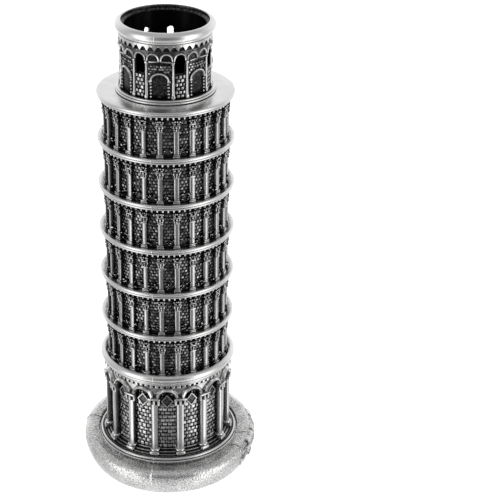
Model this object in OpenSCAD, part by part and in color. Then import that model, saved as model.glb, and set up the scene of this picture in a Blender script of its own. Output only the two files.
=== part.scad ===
// Miniature leaning campanile: cast storeys stacked on a tie rod over a rock plinth.
// Millimetres, +Z up. The origin is the middle of the flat underside of the felt pad.
// The plinth is level; everything from the stylobate up leans back along +Y.

/* [Lean] */
// Lean of the tower's axis from upright, degrees towards +Y
lean = 3.5; // [0:0.5:4.5]
// Sideways place of the tower's axis where it meets the table
tower_x = -0.45; // [-1:0.05:1]
// Front-to-back place of the tower's axis where it meets the table
tower_y = 0.4; // [-1:0.1:1]

/* [Plinth] */
// Widest radius of the rock plinth
plinth_r = 33.3; // [32:0.1:36]
// Radius of the plinth's foot
plinth_foot_r = 30.3; // [29:0.1:32]
// Height of the plinth's flat top
plinth_h = 11.8; // [11:0.1:13]
// Radius of the felt pad
pad_r = 26; // [20:1:28]
// Thickness of the felt pad
pad_t = 2; // [1.5:0.1:2.5]
// How far the pad stands below the casting
pad_proud = 0.8; // [0.3:0.1:1.2]

/* [Tower] */
// Outer radius of the gallery cornices
cornice_r = 25; // [24.6:0.1:26]
// Height of one gallery storey, cornice to cornice
storey_h = 17.75; // [16:0.25:20]
// Height of the stylobate's underside along the axis
seat_h = 9.4; // [9:0.1:10]
// Height of the ground cornice along the axis
ground_h = 45; // [43:0.5:48]
// Height of the rim above the roof disc
belfry_h = 26.7; // [25:0.1:29]

/* [Storeys] */
// Bore radius of the cast storeys
bore_r = 19.4; // [18:0.1:19.6]
// Radius of the gallery walls behind the columns
gallery_wall_r = 21.2; // [20.8:0.1:21.4]
// Columns on each gallery
gallery_columns = 24; // [18:1:28]
// Radius of a gallery column
gallery_column_r = 0.9; // [0.7:0.05:1]
// Radius of the ground storey's wall
ground_wall_r = 21.5; // [21:0.1:21.7]
// Bays of the ground storey's blind arcade
ground_bays = 15; // [12:1:16]
// Radius of a ground column
ground_column_r = 1.15; // [1:0.05:1.3]
// Turn of the galleries about the axis, degrees
gallery_turn = 1.6; // [-7:0.1:7]
// Turn of the ground storey about the axis, degrees
ground_turn = -0.9; // [-12:0.1:12]

/* [Belfry] */
// Radius of the open chamber
chamber_r = 14.7; // [14:0.1:15]
// Radius of the belfry's outer wall
belfry_wall_r = 16.2; // [16:0.1:16.4]
// Bays with an open window
belfry_bays = 7; // [5:1:8]
// Turn of the belfry about the axis, degrees
belfry_turn = 18.2; // [0:0.1:25]
// Outer radius of the rolled rim
rim_r = 18; // [17.6:0.1:18.4]

/* [Hidden] */
$fn = 96;

silver = "silver";
dark_silver = "dimgray";
cut = 0.5;                                    // how far a cutter runs past a face
stylobate_top = seat_h + 2;                   // the seat of the ground storey
plate_up = 0.6;                               // cornice line to the ledge the next storey stands on
plate_down = 1.3;                             // cornice line to the plate's underside
ground_plate_down = 2.3;
rod_r = 2;
rod_hole_r = 2.2;
spigot_h = 1.2;
spigot_gap = 0.1;
spigot_wall = 1.5;
roof_h = ground_h + 6 * storey_h;
roof_top = roof_h + plate_up;
drum_base = roof_top + 1.7;
rim_top = roof_h + belfry_h;
rim_base = rim_top - 4.3;
pit_r = 27.2;                                 // the pit that the stylobate stands in
pit_flare = 0.6;
pit_h = 8;
pad_gap = 0.2;
shoulder_w = 3;                               // the plinth's rounded shoulder
shoulder_h = 2.6;
well_r = 7;                                   // the well under the plinth for the nut
nut_seat_h = 6.5;                             // the web of the plinth that the washer bears on
rod_end_h = 2.3;
washer_t = 0.8;
washer_r = 6;
lock_t = 0.9;
lock_r = 3.5;
nut_t = 2.2;
nut_w = 8.1;                                  // across the nut's corners
cornice_bead = 0.7;                           // radii of the round mouldings
under_bead = 0.45;
ground_bead = 1.4;
sill_bead = 0.6;
lip_bead = 0.5;
frieze_r = 23.2;                              // the band that carries the dentils
spandrel_r = 23;
arch_r = 3.4;                                 // half the width of a ground arch
sill_h = 0.7;                                 // each of the two steps at the ground storey's foot
sill_out = 1.2;
door_r = 2.6;                                 // half the width of a blind doorway
window_r = 1.75;
lunette_r = 1.5;
open_lunette = 3;                             // the one lunette that is cast right through
corbel_r = 16.9;
corbel_h = 2.4;
slim_column_r = 0.5;
slim_column_turn = 9;                         // degrees from a window's middle to its columns
boss_r = 5;                                   // the boss under the roof that takes the rod
boss_h = 8;
rod_grip = 6.5;                               // how deep the rod goes into the boss

function cornice_height(k) = ground_h + k * storey_h;

// Everything above the plinth is drawn upright and then leaned as one.
module leaned() translate([tower_x, tower_y, 0]) rotate([-lean, 0, 0]) children();

// Children repeated n times around the axis, the first at the front (-Y).
module around(n, turn = 0) for (i = [0 : n - 1]) rotate([0, 0, turn + i * 360 / n - 90]) children();

module tube(outer, inner, low, high) difference() {
    translate([0, 0, low]) cylinder(r = outer, h = high - low);
    translate([0, 0, low - cut]) cylinder(r = inner, h = high - low + 2 * cut);
}

// A bead with a round outer edge on a plate's rim, as a profile.
module bead(outer, height, radius) translate([outer - radius, height]) circle(r = radius);

module spigot(low) tube(bore_r - spigot_gap, bore_r - spigot_gap - spigot_wall, low, low + spigot_h);

// A column with its base plate and capital, at a given distance from the axis.
module column(distance, radius, low, high, base_h, capital_h) translate([distance, 0, 0]) {
    translate([0, 0, low]) cylinder(r = radius, h = high - low);
    translate([-radius * 1.2, -radius * 1.6, low]) cube([radius * 2.7, radius * 3.2, base_h]);
    translate([-radius * 1.2, -radius * 1.4, high - capital_h])
        cube([radius * 2.5, radius * 2.8, capital_h]);
}

// A round-headed cutter that points outward; with its foot at the spring line it is a lunette.
module arch_cutter(from, to, radius, low, spring) {
    sides = low < spring ? [[-radius, low], [radius, low]] : [];
    arc = [for (i = [0 : 12]) [radius * cos(i * 15), spring + radius * sin(i * 15)]];
    translate([from, 0, 0]) rotate([90, 0, 90])
        linear_extrude(to - from) polygon(concat(sides, arc));
}

module felt_pad() color("black") cylinder(r = pad_r, h = pad_t);

module plinth_profile() {
    widest = plinth_h - shoulder_h;
    polygon(concat(
        [[0, pad_proud], [plinth_foot_r, pad_proud]],
        [for (i = [1 : 6]) let (t = i / 6)
            [plinth_foot_r + (plinth_r - plinth_foot_r) * sin(90 * t),
             pad_proud + (widest - pad_proud) * t]],
        [for (i = [1 : 6]) let (t = i * 15)
            [plinth_r - shoulder_w + shoulder_w * cos(t), widest + shoulder_h * sin(t)]],
        [[0, plinth_h]]));
}

module rock_plinth() color(dark_silver) difference() {
    rotate_extrude() plinth_profile();
    translate([0, 0, -cut]) cylinder(r = pad_r + pad_gap, h = pad_t + cut);
    leaned() translate([0, 0, seat_h]) cylinder(r1 = pit_r, r2 = pit_r + pit_flare, h = pit_h);
    leaned() cylinder(r = rod_hole_r, h = plinth_h + cut);
    leaned() cylinder(r = well_r, h = nut_seat_h);
}

module stylobate_ring() color(silver) leaned() {
    rotate_extrude() difference() {
        union() {
            translate([0, seat_h]) square([25.2, stylobate_top - seat_h]);
            translate([0, seat_h]) square([25.9, 1.2]);
            translate([0, seat_h]) square([26.6, 0.7]);
            bead(26.4, seat_h + 1.3, lip_bead);
            bead(27.05, seat_h + 0.5, lip_bead);
        }
        square([rod_hole_r, stylobate_top + cut]);
    }
    spigot(stylobate_top);
}

module ground_storey() color(dark_silver) leaned() {
    low = stylobate_top;
    high = ground_h - ground_plate_down;
    spring = ground_h - 8.4;
    tube(ground_wall_r, bore_r, low, high);
    for (i = [1, 2]) tube(ground_wall_r + i * sill_out, bore_r, low, low + (3 - i) * sill_h);
    difference() {
        tube(spandrel_r, bore_r, spring - 2, high);
        around(ground_bays, ground_turn)
            arch_cutter(ground_wall_r - 0.4, 30, arch_r, spring - 4, spring);
    }
    around(ground_bays, ground_turn + 180 / ground_bays)
        column(22.9, ground_column_r, low, spring + 0.5, 2.8, 3);
}

module ground_cornice() color(silver) leaned() {
    rotate_extrude() difference() {
        union() {
            translate([0, ground_h - ground_plate_down])
                square([24.1, ground_plate_down + plate_up]);
            bead(cornice_r + 0.6, ground_h, ground_bead);
            bead(cornice_r + 0.2, ground_h + 1.2, cornice_bead);
            bead(cornice_r - 0.3, ground_h - 1.7, sill_bead);
        }
        square([rod_hole_r, ground_h + 2]);
    }
    spigot(ground_h - ground_plate_down - spigot_h);
    spigot(ground_h + plate_up);
}

module gallery(k) color(dark_silver) leaned() {
    low = cornice_height(k - 1) + plate_up;
    high = cornice_height(k) - plate_down;
    tube(gallery_wall_r, bore_r, low, high);
    tube(frieze_r, bore_r, high - 1.9, high);
    around(gallery_columns, gallery_turn + 180 / gallery_columns)
        column(22.1, gallery_column_r, low, high - 1, 1.4, 3);
}

module cornice_profile(height) difference() {
    union() {
        translate([0, height - plate_down]) square([cornice_r - 0.9, plate_down + plate_up]);
        bead(cornice_r, height + 0.1, cornice_bead);
        bead(cornice_r - 0.3, height - 0.95, under_bead);
    }
    square([rod_hole_r, height + 2]);
}

module cornice(k) color(silver) leaned() {
    height = cornice_height(k);
    rotate_extrude() cornice_profile(height);
    spigot(height - plate_down - spigot_h);
    spigot(height + plate_up);
}

module roof_disc() color(silver) leaned() difference() {
    union() {
        rotate_extrude() {
            cornice_profile(roof_h);
            translate([0, roof_h - plate_down]) square([3, plate_down + plate_up]);
        }
        spigot(roof_h - plate_down - spigot_h);
        translate([0, 0, roof_h - boss_h]) cylinder(r = boss_r, h = boss_h);
        tube(chamber_r - spigot_gap, chamber_r - 1.2, roof_top - cut, roof_top + spigot_h);
    }
    translate([0, 0, roof_h - boss_h - cut]) cylinder(r = rod_r, h = rod_grip + 2 * cut);
}

module belfry_foot_ring() color(silver) leaned() rotate_extrude() {
    translate([chamber_r, roof_top]) square([17.4 - chamber_r, drum_base - roof_top]);
    bead(rim_r + 0.1, roof_top + 0.5, under_bead);
    bead(rim_r - 0.2, roof_top + 1.25, under_bead - 0.03);
}

module belfry_drum() color(dark_silver) leaned() {
    spring = roof_h + 16.5;
    lunette_turn = 60 / belfry_bays;
    difference() {
        union() {
            tube(belfry_wall_r, chamber_r, drum_base, rim_base);
            tube(corbel_r, chamber_r, rim_base - corbel_h, rim_base);
        }
        around(belfry_bays, belfry_turn)
            arch_cutter(chamber_r - 2, 20, window_r, roof_h + 11.1, spring);
        around(belfry_bays, belfry_turn + 180 / belfry_bays)
            arch_cutter(belfry_wall_r - 0.7, 20, door_r, drum_base + 0.8, roof_h + 9);
        for (i = [0 : belfry_bays - 1], side = [-1, 1])
            rotate([0, 0, belfry_turn + (i + 0.5) * 360 / belfry_bays + side * lunette_turn - 90])
                arch_cutter(i == open_lunette && side == 1 ? chamber_r - 2 : belfry_wall_r - 0.6, 20,
                            lunette_r, spring, spring);
    }
    around(belfry_bays, belfry_turn) for (side = [-1, 1])
        rotate([0, 0, side * slim_column_turn]) translate([belfry_wall_r + 0.05, 0, drum_base])
            cylinder(r = slim_column_r, h = spring - drum_base);
}

module belfry_rim() color(silver) leaned() rotate_extrude() difference() {
    union() {
        bead(rim_r, rim_top - 2.1, 2.1);
        translate([chamber_r, rim_base]) square([corbel_r - chamber_r, 2]);
        translate([chamber_r, rim_base]) square([1.9, rim_top - rim_base - 1.8]);
    }
    polygon([[chamber_r - 2, rim_top - 1.8], [chamber_r, rim_top - 1.8], [15.8, rim_top - 1.3],
             [15.8, rim_top + cut], [chamber_r - 2, rim_top + cut]]);
    square([chamber_r, rim_top]);
}

module tie_rod() color("gray") leaned() translate([0, 0, rod_end_h])
    cylinder(r = rod_r, h = roof_h - boss_h + rod_grip - rod_end_h);

module base_nut() color("gray") leaned() translate([0, 0, nut_seat_h - washer_t - lock_t - nut_t])
    difference() {
        cylinder(d = nut_w, h = nut_t, $fn = 6);
        translate([0, 0, -cut]) cylinder(r = rod_r, h = nut_t + 2 * cut);
    }

module lock_washer() color("gray") leaned()
    tube(lock_r, rod_hole_r, nut_seat_h - washer_t - lock_t, nut_seat_h - washer_t);

module base_washer() color("gray") leaned()
    tube(washer_r, rod_hole_r, nut_seat_h - washer_t, nut_seat_h);

felt_pad();
rock_plinth();
stylobate_ring();
ground_storey();
ground_cornice();
gallery(1);  // gallery_1
cornice(1);  // cornice_1
gallery(2);  // gallery_2
cornice(2);  // cornice_2
gallery(3);  // gallery_3
cornice(3);  // cornice_3
gallery(4);  // gallery_4
cornice(4);  // cornice_4
gallery(5);  // gallery_5
cornice(5);  // cornice_5
gallery(6);  // gallery_6
roof_disc();
belfry_foot_ring();
belfry_drum();
belfry_rim();
tie_rod();
base_nut();
lock_washer();
base_washer();
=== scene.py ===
import math

import bpy
import numpy as np
from mathutils import Matrix, Vector, noise

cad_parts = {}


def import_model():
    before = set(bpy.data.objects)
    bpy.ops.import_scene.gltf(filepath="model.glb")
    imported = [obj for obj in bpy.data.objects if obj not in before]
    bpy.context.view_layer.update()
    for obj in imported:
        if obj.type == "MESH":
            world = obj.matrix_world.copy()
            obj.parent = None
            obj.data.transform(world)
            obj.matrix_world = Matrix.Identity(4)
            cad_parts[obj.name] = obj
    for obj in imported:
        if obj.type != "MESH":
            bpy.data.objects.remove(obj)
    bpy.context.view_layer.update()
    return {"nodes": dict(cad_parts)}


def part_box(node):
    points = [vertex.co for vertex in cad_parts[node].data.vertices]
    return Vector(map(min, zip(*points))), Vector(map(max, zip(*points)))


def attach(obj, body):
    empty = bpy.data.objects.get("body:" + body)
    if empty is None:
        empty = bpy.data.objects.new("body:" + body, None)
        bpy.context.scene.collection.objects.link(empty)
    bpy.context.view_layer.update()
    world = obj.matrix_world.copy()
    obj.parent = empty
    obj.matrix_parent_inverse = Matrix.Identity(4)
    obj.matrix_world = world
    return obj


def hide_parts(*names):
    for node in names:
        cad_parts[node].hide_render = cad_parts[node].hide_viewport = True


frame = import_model()

# The antique-silver leaning tower. The helpers below draw castings in millimetres in the tower's own
# upright frame: u runs round the tower, v up it, w out from its axis. One matrix then leans them.

MM = 0.001
SEED = 20261

# Camera, in the tower's upright frame: millimetres and degrees
CAMERA_PLACE = (0.0, -576.34, 371.5)
CAMERA_PITCH, CAMERA_YAW, CAMERA_ROLL = 26.25, 3.10, 0.92
CAMERA_LENS, CAMERA_SENSOR = 123.05, 36.0

# Studio: brightness round the horizon by degrees from the front, then from overhead and from the table
STUDIO = ((-180, 0.95), (-145, 1.0), (-120, 0.65), (-100, 0.45), (-86, 0.4), (-77, 0.7), (-67, 1.6),
          (-48, 1.7), (-39, 0.6), (-31, 0.2), (-12, 0.16), (12, 0.16), (31, 0.2), (39, 0.5), (48, 1.7),
          (66, 1.7), (77, 0.9), (90, 0.45), (103, 0.5), (122, 0.9), (145, 1.0), (180, 0.95))
CEILING, TABLE = 0.42, 0.6
FLOOR_HALF = 3.0                 # metres
FLOOR_GAP = 0.05                 # keeps the floor clear of the pad's flat underside

# Tower
BORE_R = 19.4
ROD_CLEAR_R = 2.3                # the hole that the tie rod passes through
CORNICE_R = 25.0
PLATE_UP, PLATE_DOWN = 0.6, 1.3  # from a cornice's line to the top and the underside of its plate
GROUND_PLATE_DOWN = 2.3
SEAM_AZIMUTHS = (-12.5, 78.0, 168.0, -102.0)
TURN_STEPS = 384                 # steps round a turned shape

# Galleries
GALLERY_BAYS, GALLERY_TURNS = 24, (2.1, 1.85, 1.65, 1.5, 1.6, 1.6)
GALLERY_WALL_R, GALLERY_COLUMN_R = 21.2, 22.05
GALLERY_ROW, GALLERY_BRICK = 1.24, 3.7           # a course's height, and a brick's length in degrees
GALLERY_CASTING_BACK = 20.5                      # how far in a column's blocks are rooted

# Ground storey
GROUND_BAYS, GROUND_TURN = 15, -0.9
GROUND_WALL_R, GROUND_COLUMN_R = 21.5, 22.9
GROUND_ROW, GROUND_BRICK = 1.61, 5.0
GROUND_SPRING_DOWN = 6.3                         # the arcade's spring line below the storey's top
SPANDREL_R = 22.8
FRIEZE_HOLES = 69

# Roof and belfry
BOSS_R, BOSS_H = 5.0, 8.0                        # the boss under the roof that holds the rod
BELFRY_BAYS, BELFRY_TURN = 7, 18.2
BELFRY_WALL_R, CHAMBER_R = 16.0, 14.7
OPEN_LUNETTE_BAY, NARROW_WINDOW_BAY = 4, 3
CORBELS, CORBEL_R = 38, 16.9

# Plinth
PLINTH_STEPS = 900
NUT_SEAT_H, WELL_R = 6.5, 7.0
PAD_TOP, PAD_POCKET_R = 2.0, 26.2
FOOT_R, SHOULDER_WIDE, SHOULDER_TALL = 30.6, 3.0, 2.6
PIT_EDGE_R, PIT_DROP = 27.14, 0.8
CRACK = ((58.0, 27.0), (59.5, 29.5), (58.5, 31.0), (61.0, 33.0))   # azimuth, radius
BROKEN_FROM, BROKEN_TO = 57.0, 108.0             # azimuths of the broken stones


# ---------------------------------------------------------------- the tower's frame

def tower_matrix():
    """Leans the upright drawing onto the frame: the tie rod is a leaning cylinder, so its box says how."""
    low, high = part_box("tie_rod")
    radius = (high.x - low.x) / 2
    lean = 0.0
    for _ in range(12):
        across = high.y - low.y - 2 * radius * math.cos(lean)
        lean = math.atan2(across, high.z - low.z - 2 * radius * math.sin(lean))
    middle = (low + high) / 2
    foot = Vector((middle.x, middle.y - middle.z * math.tan(lean), 0.0))
    return Matrix.Translation(foot) @ Matrix.Rotation(-lean, 4, "X")


TOWER = tower_matrix()


def heights(node):
    """Lowest and highest point of a CAD node along the tower's axis, in mm."""
    upright = TOWER.inverted()
    along = [(upright @ v.co).z / MM for v in frame["nodes"][node].data.vertices]
    return min(along), max(along)


# ---------------------------------------------------------------- shapes

# A shape is (points, faces, relief). A point is (u, v, w), and its relief says how far it stands out
# of the casting: 0 where dark patina stays, 1 where the metal is rubbed bright.

def octagon(u, v, half_u, half_v, cut):
    """A rectangle with its corners cut off."""
    a, b, c = half_u, half_v, min(cut, half_u * 0.6, half_v * 0.6)
    return [(u - a + c, v - b), (u + a - c, v - b), (u + a, v - b + c), (u + a, v + b - c),
            (u + a - c, v + b), (u - a + c, v + b), (u - a, v + b - c), (u - a, v - b + c)]


def stacked(rings, tip=None):
    """A closed shape from rings of points, from its back to its front or to the rim of its tip."""
    n = len(rings[0])
    points = [p for ring in rings for p in ring]
    faces = [tuple(reversed(range(n)))]
    for k in range(len(rings) - 1):
        for i in range(n):
            j = (i + 1) % n
            faces.append((k * n + i, k * n + j, (k + 1) * n + j, (k + 1) * n + i))
    last = (len(rings) - 1) * n
    if tip is None:
        faces.append(tuple(last + i for i in range(n)))
    else:
        points.append(tip)
        faces.extend((last + i, last + (i + 1) % n, len(points) - 1) for i in range(n))
    return points, faces


def block(u, v, wide, high, back, front, edge, dome=0.0, bright=1.0, worn=0.85):
    """A cast block with rounded front edges, such as a brick. Worn says how bright its edges are."""
    edge = min(edge, wide * 0.4, high * 0.4)
    levels = [(0.0, back, 0.0), (0.0, front - edge, 0.5 * worn), (0.3 * edge, front - 0.35 * edge, worn),
              (edge, front, 1.0)]
    rings, relief = [], []
    for inset, depth, rise in levels:
        ring = octagon(u, v, wide / 2 - inset, high / 2 - inset, edge)
        rings.append([(p[0], p[1], depth) for p in ring])
        relief += [rise * bright] * 8
    points, faces = stacked(rings, (u, v, front + dome))
    return points, faces, relief + [bright]


def shaft(u, w, profile, sides):
    """A turned post standing along v. The profile is (radius, height, relief) from the bottom up."""
    turns = [2 * math.pi * i / sides for i in range(sides)]
    rings, relief = [], []
    for radius, height, rise in profile:
        rings.append([(u + radius * math.sin(t), height, w + radius * math.cos(t)) for t in turns])
        relief += [rise] * sides
    points, faces = stacked(rings)
    return points, faces, relief


def rib(path, half, back, front, bright=1.0):
    """A half-round moulding along a path of (u, v, normal u, normal v)."""
    swell = front - back
    section = [(-1.0, 0.0, 0.1), (-1.0, 0.45, 0.6), (-0.7, 0.82, 0.9), (0.0, 1.0, 1.0),
               (0.7, 0.82, 0.9), (1.0, 0.45, 0.6), (1.0, 0.0, 0.1)]
    rings, relief = [], []
    for u, v, nu, nv in path:
        rings.append([(u + nu * s * half, v + nv * s * half, back + t * swell) for s, t, _ in section])
        relief += [r * bright for _, _, r in section]
    points, faces = stacked(rings)
    return points, faces, relief


def arc_path(u, v, wide, tall, start, stop, steps):
    """An elliptical arc from start to stop degrees, anticlockwise, with its outward normals."""
    path = []
    for i in range(steps + 1):
        t = math.radians(start + (stop - start) * i / steps)
        nu, nv = math.cos(t) / wide, math.sin(t) / tall
        size = math.hypot(nu, nv)
        path.append((u + wide * math.cos(t), v + tall * math.sin(t), nu / size, nv / size))
    return path


def strip(us, lows, highs, back, front, edge, bright, under=0.2):
    """A plate between two curves over u, such as a spandrel."""
    rings, relief = [], []
    for u, low, high in zip(us, lows, highs):
        e = min(edge, (high - low) * 0.4)
        rings.append([(u, high, front - e), (u, high - e, front), (u, low + e, front),
                      (u, low, front - e), (u, low, back), (u, high, back)])
        relief += [0.6 * bright, bright, bright, 0.6 * bright, under, under]
    points, faces = stacked(rings)
    return points, faces, relief


class Casting:
    """A mesh in the making, in mm in the tower's upright frame."""

    def __init__(self):
        self.points, self.faces, self.relief = [], [], []
        self.count = 0

    def add(self, points, faces, relief):
        self.points.append(np.asarray(points, float))
        self.relief.append(np.asarray(relief, float))
        start = self.count
        self.faces.extend(tuple(start + i for i in face) for face in faces)
        self.count += len(points)

    def put(self, shape, azimuth, radius):
        """Wraps a flat shape round the tower: its u = 0 goes to the azimuth, and u is true at the radius."""
        flat = np.asarray(shape[0], float)
        angle = math.radians(azimuth) + flat[:, 0] / radius
        wrapped = np.column_stack([flat[:, 2] * np.sin(angle), -flat[:, 2] * np.cos(angle), flat[:, 1]])
        self.add(wrapped, shape[1], shape[2])

    def turn(self, profile, waviness=0.0, seam=0.0):
        """Revolves a closed profile of (radius, height, relief), anticlockwise, outer side upwards."""
        angles = ring_angles(seam > 0)
        profile = np.asarray(profile, float)
        n, m = len(angles), len(profile)
        radius = np.tile(profile[:, 0], (n, 1))
        height = np.tile(profile[:, 1], (n, 1))
        swell = seam * seam_ridge(angles)[:, None]
        if waviness:
            swell = swell + waviness * wave(angles, profile)
        radius = radius + swell * (profile[:, 2] > 0.3)
        a = angles[:, None]
        points = np.stack([radius * np.sin(a), -radius * np.cos(a), height], axis=2).reshape(-1, 3)
        faces = []
        for i in range(n):
            here, there = i * m, ((i + 1) % n) * m
            for k in range(m):
                j = (k + 1) % m
                faces.append((here + k, there + k, there + j, here + j))
        self.add(points, faces, np.tile(profile[:, 2], n))


def ring_angles(with_seams):
    """Even steps round the tower, with finer ones across the mould seams where they show."""
    angles = set(np.round(np.arange(TURN_STEPS) * 360.0 / TURN_STEPS, 4))
    if with_seams:
        for azimuth in SEAM_AZIMUTHS:
            angles |= {round((azimuth + d) % 360, 4) for d in (-0.8, -0.45, -0.15, 0.15, 0.45, 0.8)}
    return np.radians(sorted(angles))


def seam_ridge(angles):
    """1 on a mould seam's ridge, 0 away from it."""
    ridge = np.zeros_like(angles)
    for azimuth in SEAM_AZIMUTHS:
        off = np.degrees(np.angle(np.exp(1j * (angles - math.radians(azimuth)))))
        ridge = np.maximum(ridge, np.clip(1 - np.abs(off) / 0.6, 0, 1))
    return ridge


def wave(angles, profile):
    """Slow unevenness of a hand-finished casting, from -1 to 1, closed round the tower."""
    rows = []
    for angle in angles:
        place = Vector((2.2 * math.cos(angle), 2.2 * math.sin(angle), 0.0))
        rows.append([noise.noise(place + Vector((0, 0, 0.12 * height))) for height in profile[:, 1]])
    return np.asarray(rows)


def bead(radius, height, size, start, stop, steps, relief=1.0):
    """Points on a bead's round outer edge; the radius is its outermost."""
    out = []
    for i in range(steps + 1):
        t = math.radians(start + (stop - start) * i / steps)
        out.append((radius - size + size * math.cos(t), height + size * math.sin(t), relief))
    return out


def piece(name, casting, material, node, matrix=TOWER):
    """Makes the mesh object, which takes the CAD node's place and rides on its body."""
    points = np.concatenate(casting.points)
    leaned = points @ np.array(matrix.to_3x3()).T * MM + np.array(matrix.translation)
    mesh = bpy.data.meshes.new(name)
    mesh.from_pydata(leaned.tolist(), [], casting.faces)
    relief = mesh.attributes.new("relief", "FLOAT", "POINT")
    relief.data.foreach_set("value", np.clip(np.concatenate(casting.relief), 0, 1))
    mesh.polygons.foreach_set("use_smooth", [True] * len(mesh.polygons))
    mesh.materials.append(material)
    mesh.set_sharp_from_angle(angle=math.radians(50))
    mesh.update()
    thing = bpy.data.objects.new(name, mesh)
    bpy.context.scene.collection.objects.link(thing)
    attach(thing, "root")
    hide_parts(node)


# ---------------------------------------------------------------- materials

def node_tree(name):
    material = bpy.data.materials.new(name)
    material.use_nodes = True
    tree = material.node_tree
    return material, tree, tree.nodes["Principled BSDF"]


def add_node(tree, kind, inputs=None, **settings):
    made = tree.nodes.new(kind)
    for key, value in settings.items():
        setattr(made, key, value)
    for key, value in (inputs or {}).items():
        if isinstance(value, bpy.types.NodeSocket):
            tree.links.new(value, made.inputs[key])
        else:
            made.inputs[key].default_value = value
    return made


def calc(tree, operation, a, b=0.0):
    return add_node(tree, "ShaderNodeMath", {0: a, 1: b}, operation=operation).outputs[0]


def blend(tree, factor, a, b):
    made = add_node(tree, "ShaderNodeMix", {0: factor, 6: a, 7: b}, data_type="RGBA")
    return made.outputs[2]


def mapped(tree, value, low, high, to_low, to_high):
    """Takes low to to_low and high to to_high, smoothly, and stops there."""
    inputs = {"Value": value, "From Min": low, "From Max": high, "To Min": to_low, "To Max": to_high}
    return add_node(tree, "ShaderNodeMapRange", inputs, interpolation_type="SMOOTHSTEP").outputs[0]


def speckle(tree, scale, detail=2.0, roughness=0.5):
    """Noise fixed to the piece; the scale is in lumps to the metre."""
    place = add_node(tree, "ShaderNodeTexCoord").outputs["Object"]
    inputs = {"Vector": place, "Scale": scale, "Detail": detail, "Roughness": roughness}
    return add_node(tree, "ShaderNodeTexNoise", inputs).outputs[0]


def silver(name, bright=0.85, high=0.95, rough=0.22, grain=0.2):
    """Cast silver-plated metal: dark patina where the relief is low, rubbed bright on what stands out, and
    painted shade in creases and recesses from an ambient-occlusion mask.
    """
    # patina is the real dark patina colour; the occlusion mask below also paints it into recesses as shade.
    patina, shade_reach = 0.02, 0.5
    material, tree, shader = node_tree(name)
    relief = add_node(tree, "ShaderNodeAttribute", attribute_name="relief").outputs["Fac"]
    wear = speckle(tree, 1400, 3.0, 0.6)
    tarnish = speckle(tree, 160)
    uneven = calc(tree, "MULTIPLY", calc(tree, "SUBTRACT", wear, 0.5), 0.5)
    rubbed = mapped(tree, calc(tree, "ADD", relief, uneven), 0.05, high, 0.0, 1.0)
    # Painted shade: the ambient-occlusion mask darkens the colour towards patina in creases, recesses and
    # gaps between parts, where shade falls.
    shade = add_node(tree, "ShaderNodeAmbientOcclusion", {"Distance": shade_reach * MM}, samples=6)
    unshaded = mapped(tree, shade.outputs["AO"], 0.25, 0.8, 0.0, 1.0)
    rubbed_and_unshaded = calc(tree, "MULTIPLY", rubbed, unshaded)
    dull = mapped(tree, tarnish, 0.3, 0.7, 0.82, 1.0)
    metal = blend(tree, dull, (0.5, 0.5, 0.495, 1), (bright, bright, bright * 0.995, 1))
    # The mix factor is 0 both where the relief is low, leaving real patina, and where the occlusion mask
    # finds a recess, painting shade there.
    colour = blend(tree, rubbed_and_unshaded, (patina, patina, patina, 1), metal)
    tree.links.new(colour, shader.inputs["Base Color"])
    shader.inputs["Metallic"].default_value = 1.0
    polish = mapped(tree, rubbed_and_unshaded, 0.0, 1.0, 0.28, rough)
    rough_here = calc(tree, "ADD", polish, calc(tree, "MULTIPLY", wear, 0.08))
    tree.links.new(rough_here, shader.inputs["Roughness"])
    bump = add_node(tree, "ShaderNodeBump", {"Strength": grain, "Distance": 0.03 * MM, "Height": wear})
    tree.links.new(bump.outputs[0], shader.inputs["Normal"])
    return material


def grained(name):
    """The sand-textured plinth."""
    patina, dull, bright = (0.16, 0.16, 0.158, 1), (0.84, 0.84, 0.835, 1), (0.96, 0.96, 0.955, 1)
    material, tree, shader = node_tree(name)
    relief = add_node(tree, "ShaderNodeAttribute", attribute_name="relief").outputs["Fac"]
    grit = speckle(tree, 1700, 2.0, 0.6)
    tarnish = speckle(tree, 120, 3.0)
    mixed = calc(tree, "ADD", relief, calc(tree, "MULTIPLY", calc(tree, "SUBTRACT", grit, 0.5), 2.2))
    rubbed = mapped(tree, mixed, 0.0, 1.0, 0.0, 1.0)
    metal = blend(tree, mapped(tree, tarnish, 0.3, 0.7, 0.0, 1.0), dull, bright)
    colour = blend(tree, rubbed, patina, metal)
    tree.links.new(colour, shader.inputs["Base Color"])
    shader.inputs["Metallic"].default_value = 1.0
    rough_here = mapped(tree, grit, 0.2, 0.8, 0.34, 0.22)
    tree.links.new(rough_here, shader.inputs["Roughness"])
    bump = add_node(tree, "ShaderNodeBump", {"Strength": 0.8, "Distance": 0.22 * MM, "Height": grit})
    tree.links.new(bump.outputs[0], shader.inputs["Normal"])
    return material


def zinc(name):
    """Bright zinc plate with a faint spangle."""
    dark, light = (0.42, 0.44, 0.46, 1), (0.62, 0.63, 0.64, 1)
    material, tree, shader = node_tree(name)
    spangle = speckle(tree, 500)
    colour = blend(tree, mapped(tree, spangle, 0.35, 0.65, 0.0, 1.0), dark, light)
    tree.links.new(colour, shader.inputs["Base Color"])
    tree.links.new(mapped(tree, spangle, 0.3, 0.7, 0.25, 0.42), shader.inputs["Roughness"])
    shader.inputs["Metallic"].default_value = 1.0
    return material


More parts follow.
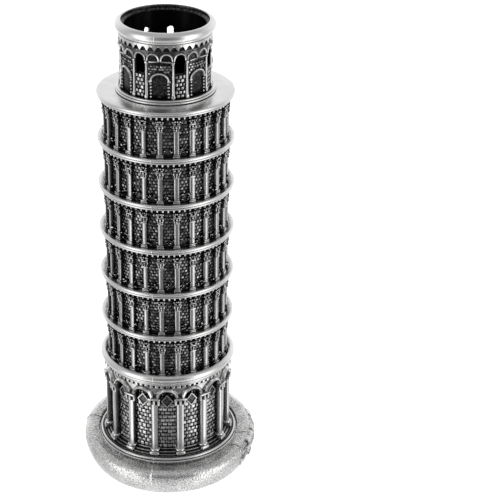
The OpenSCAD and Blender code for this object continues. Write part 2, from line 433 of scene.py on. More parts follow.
def felt(name):
    """Black pressed felt."""
    dark, light = (0.006, 0.006, 0.007, 1), (0.03, 0.03, 0.032, 1)
    material, tree, shader = node_tree(name)
    fibre = speckle(tree, 3500, 4.0, 0.7)
    colour = blend(tree, mapped(tree, fibre, 0.3, 0.7, 0.0, 1.0), dark, light)
    tree.links.new(colour, shader.inputs["Base Color"])
    shader.inputs["Roughness"].default_value = 1.0
    shader.inputs["Sheen Weight"].default_value = 0.5
    bump = add_node(tree, "ShaderNodeBump", {"Strength": 0.8, "Distance": 0.15 * MM, "Height": fibre})
    tree.links.new(bump.outputs[0], shader.inputs["Normal"])
    return material


ANTIQUE = silver("antique_silver")
POLISHED = silver("polished_silver", bright=0.88, high=0.6, rough=0.27, grain=0.1)
GRAINED = grained("grained_silver")
ZINC = zinc("zinc_steel")
FELT = felt("felt")


# ---------------------------------------------------------------- masonry

def brick(rng, u, v, wide, high, back, front, bright, edge=0.12, lean=0.06):
    """A flat-faced brick, a little out of true: its bevelled edges stay darker than its rubbed face."""
    points, faces, relief = block(u, v, wide, high, back, front, edge, 0.0, bright, 0.3)
    lean_u, lean_v = rng.normal(0, lean), rng.normal(0, lean)
    points = [(a, b, w + (lean_u * (a - u) + lean_v * (b - v)) * (w > back)) for a, b, w in points]
    return points, faces, relief


def course(casting, rng, azimuth, radius, low, rows, row_h, length, half_width, proud, gap, shine):
    """Rows of bricks in running bond, half_width to each side. Shine is the range of their relief."""
    for row in range(rows):
        v = low + (row + 0.5) * row_h
        offset = 0.5 * length * (row % 2)
        count = int(half_width / length) + 2
        for i in range(-count, count + 1):
            left = max(i * length - offset, -half_width)
            right = min((i + 1) * length - offset, half_width)
            if right - left < 0.35 * length:
                continue
            wide = (right - left - gap) * rng.uniform(0.94, 1.04)
            high = (row_h - gap) * rng.uniform(0.92, 1.05)
            u = (left + right) / 2 + rng.normal(0, 0.03)
            out = radius + proud + rng.normal(0, 0.035)
            shape = brick(rng, u, v + rng.normal(0, 0.03), wide, high, radius - 0.3, out, rng.uniform(*shine))
            casting.put(shape, azimuth, radius)


def seam_line(casting, azimuth, radius, low, high):
    """The upright ridge that the halves of a mould leave."""
    ridge = block(0, (low + high) / 2, 0.28, high - low, radius - 0.3, radius + 0.12, 0.1)
    casting.put(ridge, azimuth, radius)


# ---------------------------------------------------------------- galleries

def pier(u, radius, low, high, wide, proud, bright):
    """A shaft with a gently rounded front, as cast against the wall."""
    half = wide / 2
    section = [(1.0, -1.0, 0.1), (1.0, 0.5 * proud, 0.5), (0.88, 0.88 * proud, 0.9), (0.5, proud, 1.0),
               (-0.25, proud, 1.0), (-0.72, 0.78 * proud, 1.0), (-1.0, 0.3 * proud, 0.7), (-1.0, -1.0, 0.1)]
    rings, relief = [], []
    for v in np.linspace(low, high, 5):
        rings.append([(u + x * half, v, radius + out) for x, out, _ in section])
        relief += [rise * bright for _, _, rise in section]
    points, faces = stacked(rings)
    return points, faces, relief


def gallery_column(casting, rng, azimuth, low, top):
    """A pier on a block, with rings at its foot and neck, under a capital of small lumps and leaves."""
    radius, back = GALLERY_COLUMN_R, GALLERY_CASTING_BACK
    base, neck = top - 16.3, top - 7.3
    u = rng.normal(0, 0.03)
    casting.put(pier(u, radius, base + 0.3, neck - 0.2, 1.9, 0.8, 0.62), azimuth, radius)
    for v, wide in ((base, 2.2), (neck, 2.1)):
        ring = block(u, v, wide, 0.55, back, radius + 1.15, 0.22, 0, rng.uniform(0.6, 1.0))
        casting.put(ring, azimuth, radius)
    foot = block(u, (low + base - 0.3) / 2 - 0.1, 2.5, base - low - 0.1, back, radius + 1.1, 0.25, 0, 0.7)
    casting.put(foot, azimuth, radius)
    for side, wide in ((-0.85, 0.45), (0.0, 0.5), (0.85, 0.45)):
        front = radius + 1.2 - 0.25 * abs(side)
        for u, up, size, out in ((side * 0.85, 6.75, wide, -0.1), (side * 1.2, 5.75, wide * 1.2, 0.15)):
            lump = block(u, top - up, size, 0.9, back, front + out, 0.22, 0.05, rng.uniform(0.5, 1.0))
            casting.put(lump, azimuth, radius)
    abacus = block(0, top - 5.05, 2.5, 0.5, back, radius + 1.15, 0.18, 0, rng.uniform(0.4, 0.9))
    casting.put(abacus, azimuth, radius)
    for side in (-1, 1):
        for out, up, wide in ((0.75, 4.3, 0.75), (1.15, 3.6, 0.6), (0.35, 3.5, 0.5)):
            u = side * out + rng.normal(0, 0.08)
            leaf = block(u, top - up, wide, 0.65, back, radius + 1.35, 0.2, 0.05, rng.uniform(0.5, 1.0))
            casting.put(leaf, azimuth, radius)


def rubble(casting, rng, azimuth, radius, low, high, half_width, count):
    """Small cast lumps at the foot of a wall, each lying its own way."""
    for _ in range(count):
        u, v = rng.uniform(-half_width, half_width), rng.uniform(low, high)
        wide, tall = rng.uniform(0.35, 0.9), rng.uniform(0.3, 0.55)
        front = radius + rng.uniform(0.7, 1.9)
        lump = brick(rng, u, v, wide, tall, radius - 0.3, front, rng.uniform(0.7, 1.0), 0.15, lean=0.5)
        casting.put(lump, azimuth, radius)


def gallery(k):
    rng = np.random.default_rng(SEED + k)
    node = f"gallery_{k}"
    low, high = heights(node)
    top = high + PLATE_DOWN
    turn = GALLERY_TURNS[k - 1]
    casting = Casting()
    wall = GALLERY_WALL_R
    casting.turn([(BORE_R, low, 0), (wall + 0.5, low, 0), (wall + 0.4, low + 0.4, 0.2),
                  (wall, low + 0.5, 0.26), (wall, top - 3.6, 0.26), (wall + 0.9, top - 3.2, 0),
                  (wall + 0.9, high, 0), (BORE_R, high, 0)])
    step = 360 / GALLERY_BAYS
    length, half_width = math.radians(GALLERY_BRICK) * wall, math.radians(7) * wall
    foot = low + 2.0
    rows = int((top - 3.9 - foot) / GALLERY_ROW)
    for bay in range(GALLERY_BAYS):
        azimuth = turn + bay * step
        course(casting, rng, azimuth, wall, foot, rows, GALLERY_ROW, length, half_width, 0.36, 0.26,
               (0.15, 0.56))
        gallery_column(casting, rng, azimuth + step / 2, low, top)
        for i in (-1, 0, 1):
            dentil = block(0, top - 2.25, 0.8, 1.25, wall, 23.35, 0.34, 0.22, rng.uniform(0.55, 1.0))
            casting.put(dentil, azimuth + i * step / 3, 23.0)
        rubble(casting, rng, azimuth + step / 2, wall, low + 0.7, low + 3.4, 2.6, 14)
        path = arc_path(0, top - 5.55, 2.45, 2.45, 30, 150, 12)
        arch = rib(path, 0.2, wall - 0.3, wall + 1.3, rng.uniform(0.7, 1))
        casting.put(arch, azimuth, 22.0)
    piece(f"{node}_casting", casting, ANTIQUE, node)


def cornice_edge(line, inner):
    """A gallery cornice from its underside up to its groove: a ledge and a thin lower bead."""
    down = line - PLATE_DOWN
    return ([(inner, down, 0), (CORNICE_R - 1, down, 0.2), (CORNICE_R - 0.9, down + 0.05, 0.5)]
            + bead(CORNICE_R - 0.3, line - 0.95, 0.36, -70, 60, 5)
            + [(CORNICE_R - 0.58, line - 0.52, 0.55)])


def cornice(k):
    low, _ = heights(f"gallery_{k + 1}")
    line = low - PLATE_UP
    casting = Casting()
    casting.turn(cornice_edge(line, ROD_CLEAR_R)
                 + bead(CORNICE_R + 0.02, line + 0.1, 0.62, -52, 100, 10)
                 + [(CORNICE_R - 0.9, low + 0.05, 0.75), (CORNICE_R - 1.3, low - 0.05, 0.4),
                    (22.0, low, 0.05), (ROD_CLEAR_R, low, 0)],
                 waviness=0.05, seam=0.07)
    piece(f"cornice_{k}_casting", casting, POLISHED, f"cornice_{k}")


# ---------------------------------------------------------------- ground storey

def ground_column(casting, azimuth, low, spring):
    """A pier on a moulded base, with a capital of three leaves under a flat slab."""
    radius, back = GROUND_COLUMN_R, GROUND_WALL_R - 0.5
    capital_r, foot_r = radius + 1.1, radius + 1.6
    casting.put(pier(0, radius, low + 2.7, spring - 2.9, 2.6, 1.1, 0.8), azimuth, radius)
    base = [(1.5, low + 1.6, 0.6), (1.85, low + 1.85, 1), (1.9, low + 2.15, 1), (1.7, low + 2.5, 0.9),
            (1.2, low + 2.8, 0.7)]
    casting.put(shaft(0, radius, base, 24), azimuth, radius)
    casting.put(block(0, low + 0.85, 3.7, 1.75, back, radius + 2.15, 0.45), azimuth, foot_r)
    for u in (-1.75, 0.0, 1.75):
        front = radius + 1.65 - 0.15 * abs(u)
        casting.put(block(u, spring - 2.0, 0.8, 2.2, back, front, 0.28, 0.06), azimuth, capital_r)
    casting.put(block(0, spring - 2.3, 2.3, 1.6, back, radius + 0.9, 0.25, 0, 0.15), azimuth, capital_r)
    casting.put(block(0, spring - 0.4, 4.7, 0.85, back, radius + 1.9, 0.32), azimuth, capital_r)


def spandrel(casting, azimuth, pitch, radius, reach, spring, top, back, front, bright, steps=20):
    """The plate over a round arch, half a pitch (degrees) to each side of its centre."""
    half = math.radians(pitch / 2) * radius
    edge = [-half] + [-reach * math.cos(math.pi * i / steps) for i in range(steps + 1)] + [half]
    low = [spring] + [spring + reach * math.sin(math.pi * i / steps) for i in range(steps + 1)] + [spring]
    casting.put(strip(edge, low, [top] * len(edge), back, front, 0.12, bright), azimuth, radius)


def lozenge(casting, azimuth, radius, v, wide, tall, bar, back, front):
    """A raised diamond frame with a dished panel."""
    corners = [(wide, 0), (0, tall), (-wide, 0), (0, -tall)]
    levels = [(1.0, back, 0.1), (1.0, front - 0.25, 0.3), (0.95, front, 0.62), (1 - 2 * bar, front, 0.62),
              (1 - 2.6 * bar, front - 0.4, 0.05), (1 - 3.4 * bar, front - 0.4, 0.2)]
    rings, relief = [], []
    for scale, depth, rise in levels:
        rings.append([(u * scale, v + t * scale, depth) for u, t in corners])
        relief += [rise] * 4
    points, faces = stacked(rings, (0, v, front - 0.38))
    casting.put((points, faces, relief + [0.22]), azimuth, radius)


def ground_foot(low):
    """The steps of the wall's foot, as profile points from the outside in."""
    points = []
    steps = ((24.3, 0.35), (23.35, 1.15), (22.4, 2.1))
    inners = [radius for radius, _ in steps[1:]] + [GROUND_WALL_R]
    for (radius, top), inner in zip(steps, inners):
        points += [(radius, low + top - 0.35, 0.1), (radius - 0.04, low + top - 0.05, 0.8),
                   (radius - 0.25, low + top, 0.6), (inner + 0.04, low + top + 0.04, 0.02)]
    return points


def tympanum(casting, rng, azimuth, foot, spring, rows=4):
    """Small dark stones in the head of a blind arch, behind its lozenge."""
    wall, reach = GROUND_WALL_R, 3.5
    for row in range(rows):
        v = foot + (row + 0.5) * GROUND_ROW
        half = math.sqrt(max(0.0, reach ** 2 - max(0.0, v - spring) ** 2))
        for u in np.arange(-half + 0.5, half, 1.15):
            wide = rng.uniform(0.6, 0.95)
            stone = brick(rng, u, v, wide, 1.2, wall - 0.3, wall + 0.35, rng.uniform(0.2, 0.5))
            casting.put(stone, azimuth, wall)


def ground_frieze(casting, rng, high):
    """The band under the ground cornice: a groove bridged by bars, which leaves small square holes."""
    wall, front = GROUND_WALL_R, 23.0
    casting.turn([(wall - 0.3, high - 2.5, 0.3), (22.6, high - 2.5, 0.4), (22.62, high - 2.35, 0.4),
                  (22.0, high - 2.3, 0.0), (22.0, high - 1.45, 0.0), (front, high - 1.4, 0.5),
                  (front + 0.15, high, 0.7), (wall - 0.3, high, 0.3)])
    for i in range(FRIEZE_HOLES):
        bar = block(0, high - 1.9, rng.uniform(1.1, 1.4), 1.2, wall, front, 0.12, 0, rng.uniform(0.55, 1.0))
        casting.put(bar, (i + 0.5) * 360 / FRIEZE_HOLES - 2.9, front)


def ground_storey():
    rng = np.random.default_rng(SEED + 50)
    low, high = heights("ground_storey")
    spring = high - GROUND_SPRING_DOWN
    arch_foot = spring - 0.4
    wall = GROUND_WALL_R
    casting = Casting()
    casting.turn([(BORE_R, low, 0), (24.3, low, 0.2)] + ground_foot(low)
                 + [(wall, high, 0), (BORE_R, high, 0)])
    step = 360 / GROUND_BAYS
    length, half_width = math.radians(GROUND_BRICK) * wall, math.radians(11.4) * wall
    foot = low + 2.3
    rows = int((spring - 3.2 - foot) / GROUND_ROW)
    for bay in range(GROUND_BAYS):
        azimuth = GROUND_TURN + bay * step
        course(casting, rng, azimuth, wall, foot, rows, GROUND_ROW, length, half_width, 0.42, 0.22,
               (0.42, 0.78))
        tympanum(casting, rng, azimuth, foot + rows * GROUND_ROW, spring)
        ground_column(casting, azimuth + step / 2, low, spring)
        spandrel(casting, azimuth, step, SPANDREL_R, 3.7, arch_foot, high - 2.4, wall - 0.3, SPANDREL_R, 0.6)
        arch = rib(arc_path(0, arch_foot, 3.85, 3.85, 0, 180, 26), 0.78, wall, 24.5)
        casting.put(arch, azimuth, 24.1)
        lozenge(casting, azimuth, 22.4, spring - 1.9, 2.4, 3.0, 0.12, wall - 0.3, SPANDREL_R)
    ground_frieze(casting, rng, high)
    for azimuth in SEAM_AZIMUTHS:
        seam_line(casting, azimuth, wall + 0.5, foot, spring - 4)
    piece("ground_storey_casting", casting, ANTIQUE, "ground_storey")


def ground_cornice():
    _, down = heights("ground_storey")
    line = down + GROUND_PLATE_DOWN
    up = line + PLATE_UP
    casting = Casting()
    casting.turn([(ROD_CLEAR_R, down, 0), (23.9, down, 0.3)]
                 + bead(CORNICE_R - 0.4, line - 1.55, 0.5, -80, 40, 5, 0.9)
                 + [(CORNICE_R - 0.35, line - 1.15, 0.75)]
                 + bead(CORNICE_R + 0.6, line + 0.2, 1.5, -60, 90, 14)
                 + [(23.9, line + 1.65, 0.8), (23.3, line + 1.0, 0.3), (22.2, up, 0.05),
                    (ROD_CLEAR_R, up, 0)],
                 waviness=0.06, seam=0.08)
    piece("ground_cornice_casting", casting, POLISHED, "ground_cornice")


def stylobate():
    low, _ = heights("stylobate_ring")
    seat, _ = heights("ground_storey")
    casting = Casting()
    casting.turn([(ROD_CLEAR_R, low, 0), (26.4, low, 0.2)]
                 + bead(27.1, low + 0.38, 0.55, -80, 100, 9)
                 + [(26.3, low + 0.75, 0.02), (26.15, low + 0.85, 0.02)]
                 + bead(26.45, low + 1.4, 0.55, -50, 110, 9)
                 + [(25.5, low + 1.6, 0.1), (25.2, low + 1.62, 0.05), (25.15, seat, 0.3),
                    (24.6, seat + 0.02, 0.05), (ROD_CLEAR_R, seat, 0)],
                 waviness=0.04, seam=0.35)
    piece("stylobate_casting", casting, POLISHED, "stylobate_ring")


# ---------------------------------------------------------------- belfry

def roof_disc():
    _, high = heights("gallery_6")
    line = high + PLATE_DOWN
    up = line + PLATE_UP
    casting = Casting()
    casting.turn(cornice_edge(line, BOSS_R)
                 + bead(CORNICE_R + 0.02, line - 0.05, 0.6, -52, 95, 10)
                 + [(24.0, up + 0.02, 1.0), (22.5, up + 0.05, 1.0), (20.5, up + 0.06, 1.0), (18.5, up, 1.0),
                    (17.4, up - 0.02, 0.4), (CHAMBER_R, up, 0), (BOSS_R, up, 0)],
                 waviness=0.06, seam=0.05)
    turns = [math.radians(degrees) for degrees in np.arange(0, 360, 3.75)]
    boss = [[(BOSS_R * math.sin(t), -BOSS_R * math.cos(t), height) for t in turns]
            for height in (line - BOSS_H, up)]
    points, faces = stacked(boss)
    casting.add(points, faces, [0.0] * len(points))
    piece("roof_disc_casting", casting, POLISHED, "roof_disc")


def foot_ring():
    low, high = heights("belfry_foot_ring")
    casting = Casting()
    casting.turn([(CHAMBER_R, low, 0), (17.7, low, 0.4)]
                 + bead(18.12, low + 0.5, 0.42, -75, 60, 7)
                 + [(17.5, low + 0.9, 0.4)]
                 + bead(17.78, low + 1.28, 0.38, -50, 100, 7)
                 + [(17.0, high - 0.1, 0.4), (16.6, high, 0.1), (CHAMBER_R, high, 0)],
                 waviness=0.03, seam=0.05)
    piece("foot_ring_casting", casting, POLISHED, "belfry_foot_ring")


def drum_wall(casting, low, high, openings):
    """The chamber's wall, pierced in each bay by round-headed openings (u, half width, sill, spring)."""
    inner, outer = CHAMBER_R, BELFRY_WALL_R
    half = math.radians(180 / BELFRY_BAYS) * outer
    turns = [math.pi * i / 12 for i in range(13)]

    def plate(azimuth, us, lows, highs, bright=0.0):
        casting.put(strip(us, lows, highs, inner, outer, 0.01, bright, 0.0), azimuth, outer)

    def solid(azimuth, start, stop):
        plate(azimuth, np.linspace(start, stop, 10), [low] * 10, [high] * 10, 0.15)

    for bay in range(BELFRY_BAYS):
        azimuth = BELFRY_TURN + bay * 360 / BELFRY_BAYS
        start = -half
        for u, reach, sill, spring in openings(bay):
            across = [u - reach * math.cos(t) for t in turns]
            heads = [spring + reach * math.sin(t) for t in turns]
            solid(azimuth, start, u - reach)
            plate(azimuth, across, [low] * len(turns), [sill] * len(turns))
            plate(azimuth, across, heads, [high] * len(turns))
            start = u + reach
        solid(azimuth, start, half)


def belfry_drum():
    rng = np.random.default_rng(SEED + 70)
    low, high = heights("belfry_drum")
    spring, sill = low + 14.2, low + 8.8
    wall = BELFRY_WALL_R
    pitch = 360 / BELFRY_BAYS
    window_reach, lunette_reach = 1.8, 1.1
    lunette_u = math.radians(pitch / 3) * wall
    parapet_row = (sill - low - 0.3) / 6
    casting = Casting()

    def openings(bay):
        """The window, and the one lunette that the casting left open."""
        found = [(0.0, window_reach, sill, spring)]
        if bay == NARROW_WINDOW_BAY:
            found = [(0.1, 1.25, sill, spring + 1.35)]
        if bay == OPEN_LUNETTE_BAY:
            found.insert(0, (-lunette_u, lunette_reach, spring + 0.3, spring + 1.5))
        return found

    drum_wall(casting, low, high, openings)
    for bay in range(BELFRY_BAYS):
        window = BELFRY_TURN + bay * pitch
        door = window + pitch / 2
        for side in (-1, 1):
            slim_column(casting, window + side * 9, low, spring)
        course(casting, rng, window, wall, low + 0.3, 6, parapet_row, 1.5, 1.95, 0.42, 0.28, (0.35, 0.75))
        for azimuth in (window, door - pitch / 6, door + pitch / 6):
            spandrel(casting, azimuth, pitch / 3, wall + 0.5, 2.1, spring, high - 2.4, wall - 0.2,
                     wall + 0.35, 0.25, 14)
            arch = rib(arc_path(0, spring, 2.12, 2.4, 0, 180, 20), 0.42, wall - 0.2, wall + 1.05)
            casting.put(arch, azimuth, wall + 0.5)
        wide_bay(casting, rng, door, low, spring)
    corbels(casting, high)
    piece("belfry_drum_casting", casting, ANTIQUE, "belfry_drum")


def slim_column(casting, azimuth, low, spring):
    radius = BELFRY_WALL_R + 0.3
    post = [(0.55, low + 1.3, 0.7), (0.62, low + 1.6, 1), (0.46, low + 1.9, 0.9),
            (0.43, spring - 1.6, 0.95), (0.55, spring - 1.45, 1), (0.45, spring - 1.2, 0.7)]
    casting.put(shaft(0, radius, post, 14), azimuth, radius)
    casting.put(block(0, low + 0.75, 1.25, 1.3, radius - 0.6, radius + 0.65, 0.22), azimuth, radius)
    casting.put(block(0, spring - 0.75, 1.15, 0.8, radius - 0.6, radius + 0.55, 0.2), azimuth, radius)


def wide_bay(casting, rng, door, low, spring):
    """The bay between two windows: a blind doorway with its arch and quoins, masonry, an impost band."""
    wall = BELFRY_WALL_R
    front = wall + 0.5
    door_spring, ear = low + 6.7, 3.15
    arch = rib(arc_path(0, door_spring, ear, 2.75, 0, 180, 22), 0.45, wall - 0.2, wall + 1.05)
    casting.put(arch, door, front)
    casting.put(block(0, spring - 0.4, 7.7, 0.5, wall - 0.2, wall + 0.95, 0.18), door, front)
    pitch = 1.2
    for side in (-1, 1):
        stop = block(side * (ear + 0.15), door_spring - 0.1, 1.15, 0.7, wall - 0.2, wall + 0.9, 0.2)
        casting.put(stop, door, front)
        for i in range(5):
            quoin = block(side * ear + rng.normal(0, 0.06), low + 0.8 + i * pitch, 0.78, 0.8, wall - 0.2,
                          wall + 0.6, 0.22, 0.05, rng.uniform(0.7, 1.0))
            casting.put(quoin, door, front)
    for _ in range(22):
        u, v = rng.uniform(-2.4, 2.4), rng.uniform(low + 0.5, door_spring + 1.6)
        wide = rng.uniform(0.3, 0.6)
        lump = block(u, v, wide, 0.4, wall - 0.2, wall + 0.1, 0.15, 0, rng.uniform(0.2, 0.4))
        casting.put(lump, door, wall)
    masonry(casting, rng, door, door_spring, spring)


def masonry(casting, rng, door, door_spring, spring):
    """Rough stones round the head of a blind doorway."""
    wall, row_h, length = BELFRY_WALL_R, 0.95, 1.2
    for row in range(6):
        v = door_spring + 0.6 + row * row_h
        for i in range(-3, 4):
            u = (i + 0.5 * (row % 2)) * length
            in_arch = math.hypot(u / 3.85, (v - door_spring) / 3.5) < 1.08
            if in_arch or abs(u) > 3.7 or v > spring - 1.0:
                continue
            wide = length - rng.uniform(0.1, 0.35)
            stone = brick(rng, u + rng.normal(0, 0.1), v, wide, row_h - rng.uniform(0.05, 0.3), wall - 0.2,
                          wall + rng.uniform(0.2, 0.45), rng.uniform(0.2, 0.75))
            casting.put(stone, door, wall)


def corbels(casting, high):
    """A band of pointed corbels under the rim."""
    pitch = 360 / CORBELS
    half = math.radians(pitch / 2) * CORBEL_R
    us = [half * i / 5 for i in range(-5, 6)]
    lows = [high - 2.35 + 1.8 * max(0.0, math.cos(math.pi / 2 * u / half) - 0.2) ** 0.8 for u in us]
    highs = [high] * len(us)
    for i in range(CORBELS):
        corbel = strip(us, lows, highs, BELFRY_WALL_R, CORBEL_R, 0.1, 0.9)
        casting.put(corbel, 1 + i * pitch, CORBEL_R)


def rim():
    low, high = heights("belfry_rim")
    casting = Casting()
    inner = 15.8
    casting.turn([(CHAMBER_R, low, 0), (16.6, low, 0.6), (16.95, low + 0.3, 0.8)]
                 + bead(18.0, high - 1.95, 1.9, -62, 90, 18)
                 + [(15.98, high - 0.02, 1.0), (inner, high - 0.12, 0.4), (inner, high - 1.25, 0.05),
                    (15.6, high - 1.4, 0.15), (CHAMBER_R, high - 1.85, 0.05), (CHAMBER_R, high - 2.1, 0)],
                 waviness=0.06, seam=0.06)
    piece("rim_casting", casting, POLISHED, "belfry_rim")


# ---------------------------------------------------------------- plinth

def plinth():
    """The level rock plinth and the tilted pit that the tower stands in, as rings from the rod's hole."""
    low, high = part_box("rock_plinth")
    top, foot = high.z / MM, low.z / MM
    widest_r = (high.x - low.x) / MM / 2
    widest = top - SHOULDER_TALL
    seat, _ = heights("stylobate_ring")
    steps = PLINTH_STEPS
    angles = np.arange(steps) * 2 * np.pi / steps
    sin, cos = np.sin(angles), -np.cos(angles)
    lean = np.array(TOWER.to_3x3())
    shift = np.array(TOWER.translation) / MM
    rings, relief, rough = [], [], []

    def level(radius, z):
        return np.column_stack([radius * sin, radius * cos, np.full(steps, z)])

    def tilted(radius, height):
        flat = np.column_stack([radius * sin, radius * cos, np.full(steps, 1.0) * height])
        return flat @ lean.T + shift

    def ring(points, rise, grit):
        rings.append(points)
        relief.append(rise)
        rough.append(grit)

    ring(level(ROD_CLEAR_R, NUT_SEAT_H), 0, 0)
    ring(level(WELL_R, NUT_SEAT_H), 0, 0)
    ring(level(WELL_R, PAD_TOP), 0, 0)
    ring(level(PAD_POCKET_R, PAD_TOP), 0, 0)
    ring(level(PAD_POCKET_R, foot), 0.1, 0)
    ring(level(FOOT_R - 0.6, foot), 0.3, 0)
    side, side_foot = 40, foot + 0.25
    for i in range(side + 1):
        t = i / side
        radius = FOOT_R + (widest_r - FOOT_R) * math.sin(math.pi / 2 * t)
        ring(level(radius, side_foot + (widest - side_foot) * t), 0.75, min(1.0, 3 * t))
    shoulder = 20
    for i in range(1, shoulder + 1):
        t = math.pi / 2 * i / shoulder
        radius = widest_r - SHOULDER_WIDE + SHOULDER_WIDE * math.cos(t)
        ring(level(radius, widest + SHOULDER_TALL * math.sin(t)), 0.8, 1)
    deck, deck_edge = 18, rings[-1]
    pit_edge = tilted(PIT_EDGE_R, (top - PIT_DROP - PIT_EDGE_R * cos * lean[2, 1]) / lean[2, 2])
    for i in range(1, deck):
        t = i / deck
        ring(deck_edge * (1 - t) + pit_edge * t, 0.75 - 0.2 * t, 1)
    ring(pit_edge, 0.6, 0.2)
    ring(tilted(PIT_EDGE_R, seat + 0.8), 0.6, 0)
    ring(tilted(PIT_EDGE_R, seat + 0.3), 0.1, 0)
    pit_floor = seat - 0.02
    ring(tilted(PIT_EDGE_R, pit_floor), 0, 0)
    ring(tilted(ROD_CLEAR_R, pit_floor), 0, 0)
    points, relief = weathered(np.stack(rings), np.asarray(relief), np.asarray(rough), foot, top)
    casting = Casting()
    casting.add(points.reshape(-1, 3), closed_grid(len(rings), steps), relief.ravel())
    piece("rock_plinth_casting", casting, GRAINED, "rock_plinth", Matrix.Identity(4))


def closed_grid(n, steps):
    """Faces of n rings of points, each joined to the next and the last to the first."""
    index = np.arange(n * steps).reshape(n, steps)
    faces = []
    for k in range(n):
        here, above = index[k], index[(k + 1) % n]
        for i in range(steps):
            j = (i + 1) % steps
            faces.append((here[i], here[j], above[j], above[i]))
    return faces


def weathered(points, relief, grit, foot, top):
    """Pushes a grid of rings out by sand grain, mould seams, a crack, broken stones and one cast lump."""
    along = np.roll(points, -1, axis=1) - np.roll(points, 1, axis=1)
    up = np.roll(points, -1, axis=0) - np.roll(points, 1, axis=0)
    normal = np.cross(along, up)
    normal /= np.linalg.norm(normal, axis=2, keepdims=True) + 1e-9
    radius = np.hypot(points[:, :, 0], points[:, :, 1])
    azimuth = np.degrees(np.arctan2(points[:, :, 0], -points[:, :, 1]))
    height = points[:, :, 2]
    outer = (grit[:, None] > 0.9) * 1.0
    relief = np.tile(relief[:, None], (1, points.shape[1]))

    ridge = seams(azimuth, radius) * outer
    groove = crack(azimuth, radius, height > top - 1.6) * outer
    size, joint = rough_stones(azimuth, height - foot)
    broken = (azimuth > BROKEN_FROM) & (azimuth < BROKEN_TO) & (height - foot > 1.5) & (radius > 31.6)
    broken = broken * outer
    lump = np.exp(-((azimuth + 45) ** 2 * 0.24 + (radius - 28.3) ** 2) / 0.18) * outer

    push = sand_grain(points, grit) + 0.28 * ridge - 0.3 * groove
    push += broken * (1.3 * (size - 0.25) - 0.7 * joint) + 0.5 * lump
    relief = np.maximum(relief, ridge) * (1 - 0.8 * groove)
    relief = relief * (1 - 0.75 * broken * joint) * (1 - 0.35 * broken * (size < 0.4))
    return points + normal * push[:, :, None], np.maximum(relief, lump)


def sand_grain(points, grit):
    """Fine grain on slow swells, in mm, on the rings that have grit."""
    grain = np.zeros(points.shape[:2])
    for r in np.flatnonzero(grit):
        for s in range(points.shape[1]):
            place = Vector(points[r, s])
            fine = noise.noise(place * 2.1) + 0.4 * noise.noise(place * 4.1)
            grain[r, s] = 0.08 * fine + 0.22 * noise.noise(place * 0.16) - 0.08
    return grain * grit[:, None]


def seams(azimuth, radius):
    """1 on a mould seam, 0 away from it."""
    ridge = np.zeros_like(azimuth)
    for seam in SEAM_AZIMUTHS:
        off = np.abs((azimuth - seam + 180) % 360 - 180) * np.radians(1) * radius
        ridge = np.maximum(ridge, np.clip(1 - off / 0.35, 0, 1))
    return ridge


def crack(azimuth, radius, on_deck):
    """1 in the crack across the deck, 0 away from it."""
    off = np.full(azimuth.shape, 9.0)
    for (a0, r0), (a1, r1) in zip(CRACK, CRACK[1:]):
        along = np.clip((radius - r0) / (r1 - r0), 0, 1)
        aside = np.abs(azimuth - a0 - (a1 - a0) * along) * np.radians(1) * radius
        inside = (radius >= r0) & (radius <= r1) & on_deck
        off = np.where(inside, np.minimum(off, aside), off)
    return np.clip(1 - off / 0.3, 0, 1)


def rough_stones(azimuth, height):
    """Rough courses round the plinth's side: the size of the stone at each point, and 1 in the joints."""
    rows, columns = 9, 90
    sizes = np.random.default_rng(SEED + 90).uniform(size=(rows, columns))
    row_h, stone_turn, arc = 2.3, 6.5, 0.58       # mm, degrees, and mm in a degree of arc
    row = np.floor(height / row_h).astype(int)
    turn = (azimuth + 180 + 2.9 * row) / stone_turn
    column = np.floor(turn).astype(int)
    across = np.minimum(turn - column, column + 1 - turn) * stone_turn * arc
    edge = np.minimum(across, np.minimum(height - row * row_h, (row + 1) * row_h - height))
    return sizes[row % rows, column % columns], np.clip(1 - edge / 0.35, 0, 1)


# ---------------------------------------------------------------- stage

def floor():
    a = FLOOR_HALF
    mesh = bpy.data.meshes.new("floor")
    mesh.from_pydata([(-a, -a, 0), (a, -a, 0), (a, a, 0), (-a, a, 0)], [], [(0, 1, 2, 3)])
    thing = bpy.data.objects.new("floor", mesh)
    bpy.context.scene.collection.objects.link(thing)
    material, _, shader = node_tree("floor_white")
    shader.inputs["Base Color"].default_value = (0.9, 0.9, 0.9, 1)
    shader.inputs["Roughness"].default_value = 0.9
    shader.inputs["Specular IOR Level"].default_value = 0.0
    shader.inputs["Emission Color"].default_value = (1, 1, 1, 1)
    shader.inputs["Emission Strength"].default_value = 0.8
    mesh.materials.append(material)
    thing.location.z = -FLOOR_GAP * MM
    thing.visible_glossy = False


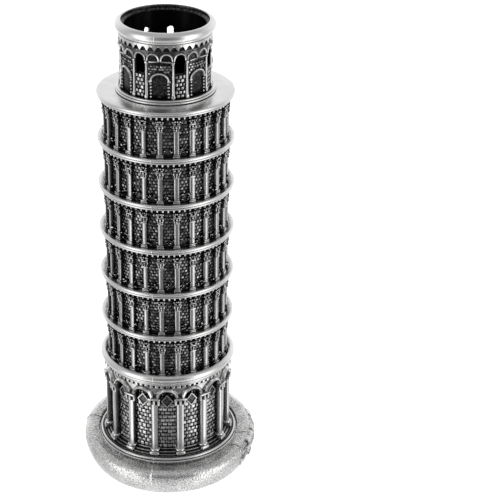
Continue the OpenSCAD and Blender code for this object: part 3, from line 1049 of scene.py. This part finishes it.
def world():
    """A soft studio: pale for the camera; for reflections, tall panels left and right, a bright ceiling
    and back, and a dark gap where the photographer stands."""
    made = bpy.data.worlds.new("studio")
    bpy.context.scene.world = made
    made.use_nodes = True
    tree = made.node_tree
    background = tree.nodes["Background"]
    direction = add_node(tree, "ShaderNodeTexCoord").outputs["Generated"]
    split = add_node(tree, "ShaderNodeSeparateXYZ", {0: direction})
    front = calc(tree, "MULTIPLY", split.outputs[1], -1.0)
    turn = calc(tree, "DIVIDE", calc(tree, "ARCTAN2", split.outputs[0], front), 2 * math.pi)
    ring = add_node(tree, "ShaderNodeValToRGB", {0: calc(tree, "ADD", turn, 0.5)})
    elements = ring.color_ramp.elements
    while len(elements) < len(STUDIO):
        elements.new(0.5)
    for element, (degrees, value) in zip(elements, STUDIO):
        element.position = degrees / 360 + 0.5
        element.color = (value, value, value, 1)
    table = mapped(tree, split.outputs[2], -0.54, -0.47, TABLE, 0.0)
    level = calc(tree, "MAXIMUM", ring.outputs[0], table)
    overhead = mapped(tree, split.outputs[2], 0.35, 0.75, 0.0, 1.0)
    studio = blend(tree, overhead, level, (CEILING, CEILING, CEILING, 1))
    rays = add_node(tree, "ShaderNodeLightPath")
    lit = blend(tree, rays.outputs["Is Glossy Ray"], (1, 1, 1, 1), studio)
    colour = blend(tree, rays.outputs["Is Camera Ray"], lit, (1, 1, 1, 1))
    tree.links.new(colour, background.inputs["Color"])


def camera():
    data = bpy.data.cameras.new("camera")
    data.lens = CAMERA_LENS
    data.sensor_width = CAMERA_SENSOR
    data.clip_start, data.clip_end = 0.01, 20
    thing = bpy.data.objects.new("camera", data)
    bpy.context.scene.collection.objects.link(thing)
    pitch, yaw, roll = (math.radians(a) for a in (CAMERA_PITCH, CAMERA_YAW, CAMERA_ROLL))
    right = Vector((math.cos(yaw), -math.sin(yaw), 0))
    ahead = Vector((math.sin(yaw) * math.cos(pitch), math.cos(yaw) * math.cos(pitch), -math.sin(pitch)))
    up = right.cross(ahead)
    turned_right = right * math.cos(roll) + up * math.sin(roll)
    turned_up = -right * math.sin(roll) + up * math.cos(roll)
    axes = Matrix((turned_right, turned_up, -ahead)).transposed().to_4x4()
    thing.matrix_world = TOWER @ Matrix.Translation(Vector(CAMERA_PLACE) * MM) @ axes
    bpy.context.scene.camera = thing


# ---------------------------------------------------------------- assembly

def dress(node, material):
    """Gives a CAD piece that is shown as it is its material."""
    mesh = frame["nodes"][node].data
    mesh.materials.clear()
    mesh.materials.append(material)


camera()
world()
floor()
plinth()
stylobate()
ground_storey()
ground_cornice()
for storey in range(1, 7):
    gallery(storey)
for plate in range(1, 6):
    cornice(plate)
roof_disc()
foot_ring()
belfry_drum()
rim()
for fastener in ("tie_rod", "base_nut", "lock_washer", "base_washer"):
    dress(fastener, ZINC)
dress("felt_pad", FELT)

bpy.context.scene.view_settings.view_transform = "Standard"
